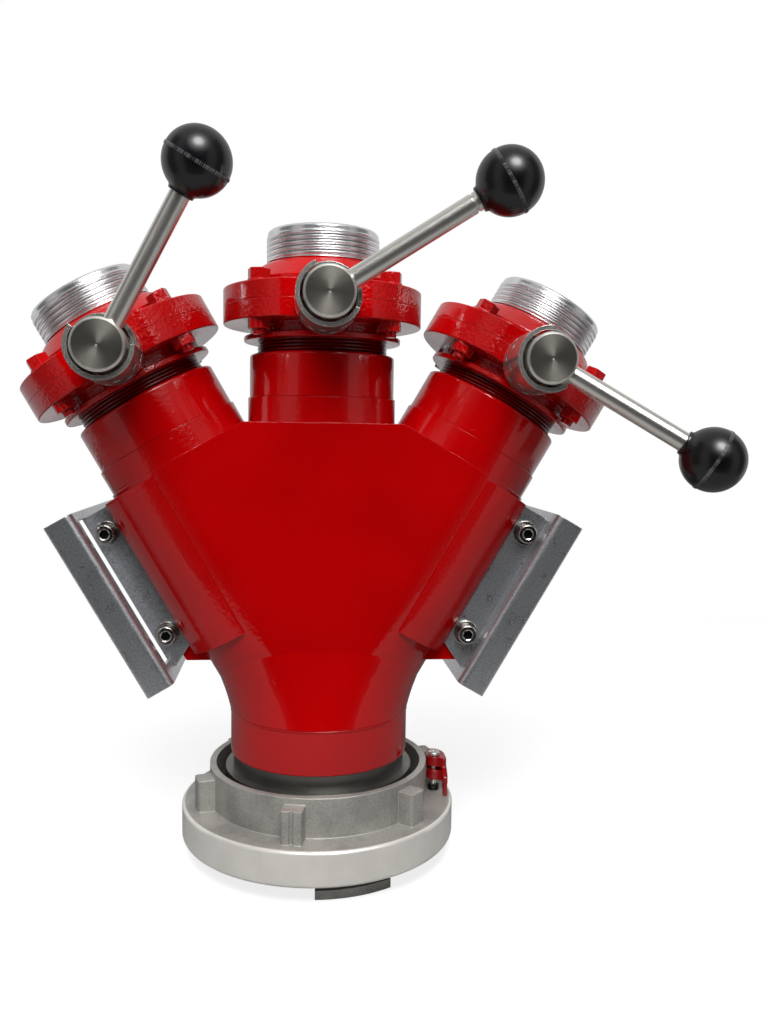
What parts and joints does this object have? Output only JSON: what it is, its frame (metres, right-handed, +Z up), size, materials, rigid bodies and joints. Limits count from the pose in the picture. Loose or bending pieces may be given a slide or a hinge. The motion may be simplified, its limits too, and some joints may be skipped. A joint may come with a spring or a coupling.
{
  "type": "hose manifold",
  "caption": "Hose manifold with a lugged inlet coupling that divides the flow between angled outlets, each with a ball valve, lever handle and hose thread.",
  "frame": {"origin": "on the inlet axis in the plane of the lug tips that it stands on", "axes": "+Z up along the inlet axis, -Y towards the side of the valve handles, +X to the right of a viewer on that side"},
  "size_m": [0.4509, 0.2444, 0.4652],
  "materials": {
    "red_enamel": "gloss red stove enamel with a light orange peel",
    "cast_alloy": "cast and turned aluminium alloy",
    "stainless": "turned stainless steel",
    "bracket_sheet": "mill-finish sheet",
    "black_knob": "polished black",
    "valve_seat": "white seat plastic",
    "bush_bronze": "plain bronze",
    "gasket_rubber": "matt black",
    "spring_wire": "blackened spring wire"
  },
  "bodies": {
    "manifold": {"centre_ball_seats": "valve_seat", "centre_flange_bolts": "red_enamel", "centre_flange_nuts": "red_enamel", "centre_outlet_socket": "red_enamel", "centre_stem_bush": "bush_bronze", "centre_stop_sleeve": "stainless", "centre_valve_lower_half": "red_enamel", "centre_valve_upper_half": "red_enamel", "coupling_shank": "cast_alloy", "face_gasket": "gasket_rubber", "inlet_ring": "red_enamel", "left_ball_seats": "valve_seat", "left_bracket_screws": "stainless", "left_bracket_washers": "stainless", "left_flange_bolts": "red_enamel", "left_flange_nuts": "red_enamel", "left_outlet_socket": "red_enamel", "left_side_bracket": "bracket_sheet", "left_stem_bush": "bush_bronze", "left_stop_sleeve": "stainless", "left_valve_lower_half": "red_enamel", "left_valve_upper_half": "red_enamel", "manifold_body": "red_enamel", "right_ball_seats": "valve_seat", "right_bracket_screws": "stainless", "right_bracket_washers": "stainless", "right_flange_bolts": "red_enamel", "right_flange_nuts": "red_enamel", "right_outlet_socket": "red_enamel", "right_side_bracket": "bracket_sheet", "right_stem_bush": "bush_bronze", "right_stop_sleeve": "stainless", "right_valve_lower_half": "red_enamel", "right_valve_upper_half": "red_enamel", "swivel_retainer": "cast_alloy"},
    "left_handle": {"left_ball_knob": "black_knob", "left_handle_hub": "stainless", "left_handle_rod": "stainless", "left_valve_ball": "stainless", "left_valve_stem": "stainless"},
    "centre_handle": {"centre_ball_knob": "black_knob", "centre_handle_hub": "stainless", "centre_handle_rod": "stainless", "centre_valve_ball": "stainless", "centre_valve_stem": "stainless"},
    "right_handle": {"right_ball_knob": "black_knob", "right_handle_hub": "stainless", "right_handle_rod": "stainless", "right_valve_ball": "stainless", "right_valve_stem": "stainless"},
    "coupling_ring": {"swivel_ring": "cast_alloy", "lock_pivot_screw": "stainless", "lock_spring": "spring_wire"},
    "lever": {"lock_lever": "red_enamel"}
  },
  "joints": [
    {"name": "left_valve_turn", "type": "hinge", "parent": "manifold", "child": "left_handle", "pos_m": [-0.13555, 0, 0.34258], "axis": [-0.0393, 0.999, -0.0227], "range_deg": [-59.7, 32.3]},
    {"name": "centre_valve_turn", "type": "hinge", "parent": "manifold", "child": "centre_handle", "pos_m": [0, 0, 0.3789], "axis": [-0.007, 1, 0], "range_deg": [-58.5, 33.5]},
    {"name": "right_valve_turn", "type": "hinge", "parent": "manifold", "child": "right_handle", "pos_m": [0.13555, 0, 0.34258], "axis": [0.0121, 0.9999, -0.007], "range_deg": [-92, 0]},
    {"name": "coupling_swivel", "type": "hinge", "parent": "manifold", "child": "coupling_ring", "pos_m": [0, 0, 0.026], "axis": [0, 0, 1], "continuous": true},
    {"name": "lever_turn", "type": "hinge", "parent": "coupling_ring", "child": "lever", "pos_m": [0.0845, 0, 0.0455], "axis": [0, 0, 1], "range_deg": [0, 12], "stiffness_Nm_per_rad": 0.3, "springref_deg": -8.59}
  ]
}
